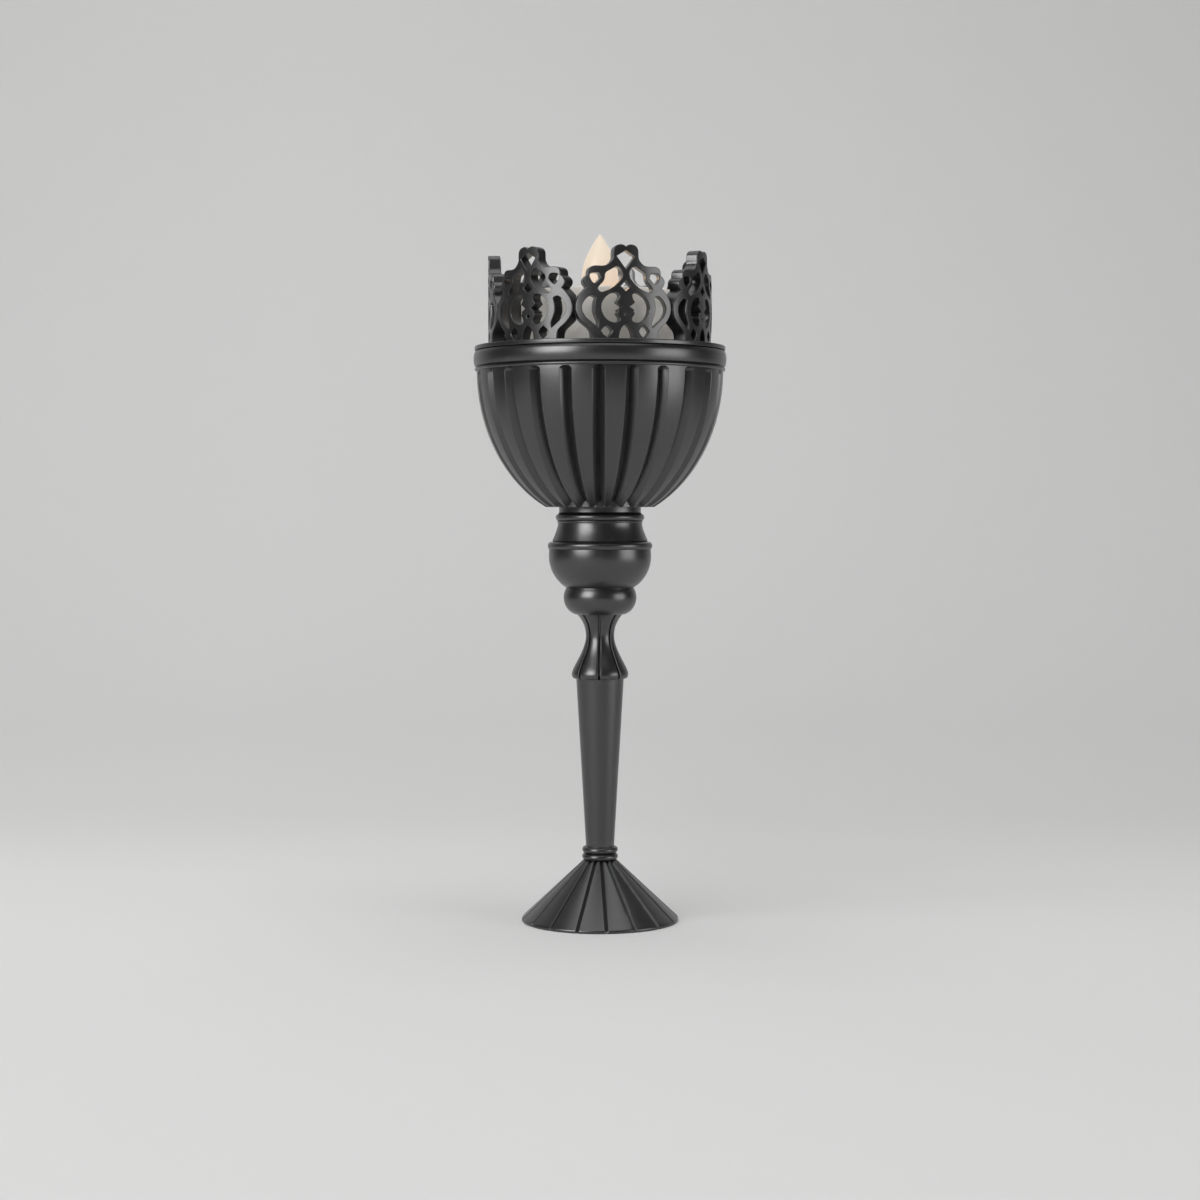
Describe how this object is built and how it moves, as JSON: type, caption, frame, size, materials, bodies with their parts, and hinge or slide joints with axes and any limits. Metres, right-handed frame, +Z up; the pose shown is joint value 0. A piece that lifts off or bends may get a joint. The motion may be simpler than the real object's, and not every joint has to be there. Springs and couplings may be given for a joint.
{
  "type": "tea light holder",
  "caption": "Black goblet-shaped tea light holder with a fluted foot and bowl, a crown of pierced panels on the rim, and a battery tea light in a lift-out pan",
  "frame": {"origin": "on the table, under the middle of the foot", "axes": "+Z up along the goblet's axis, -Y towards the viewer of the front, +X to the viewer's right"},
  "size_m": [0.055, 0.055, 0.1505],
  "materials": {
    "satin_black": "satin black",
    "steel": "plain zinc",
    "felt": "felt",
    "ivory_plastic": "wax-like matte",
    "flame_plastic": "frosted translucent",
    "led_lens": "clear warm",
    "board": "solder mask",
    "switch_plastic": "moulded"
  },
  "bodies": {
    "holder": {"foot": "satin_black", "foot_pad": "felt", "tie_rod": "steel", "rod_bottom_washer": "steel", "rod_bottom_nut": "steel", "rod_top_washer": "steel", "rod_top_nut": "steel", "lower_bead_ring": "satin_black", "upper_bead_ring": "satin_black", "stem": "satin_black", "stem_skirt": "satin_black", "lower_knop": "satin_black", "upper_knop": "satin_black", "knop_ring": "satin_black", "neck": "satin_black", "bowl": "satin_black", "rim_band": "satin_black", "crown_panel_1": "satin_black", "crown_panel_2": "satin_black", "crown_panel_3": "satin_black", "crown_panel_4": "satin_black", "crown_panel_5": "satin_black", "crown_panel_6": "satin_black", "crown_panel_7": "satin_black"},
    "pan": {"candle_pan": "satin_black"},
    "tea_light": {"candle_shell": "ivory_plastic", "flame_tip": "flame_plastic", "led": "led_lens", "circuit_board": "board", "contact_leaf": "steel", "contact_clip": "steel", "coin_cell": "steel", "base_plate": "ivory_plastic", "switch_housing": "switch_plastic"},
    "cover": {"battery_cover": "ivory_plastic"},
    "slider": {"switch_slider": "switch_plastic"}
  },
  "joints": [
    {"name": "pan_lift", "type": "slide", "parent": "holder", "child": "pan", "axis": [0, 0, 1], "range_m": [0, 0.04]},
    {"name": "tea_light_lift", "type": "slide", "parent": "pan", "child": "tea_light", "axis": [0, 0, 1], "range_m": [0, 0.04]},
    {"name": "cover_turn", "type": "hinge", "parent": "tea_light", "child": "cover", "pos_m": [0, 0, 0.119], "axis": [0, 0, 1], "range_deg": [0, 45]},
    {"name": "switch_slide", "type": "slide", "parent": "tea_light", "child": "slider", "axis": [1, 0, 0], "range_m": [0, 0.002]}
  ]
}
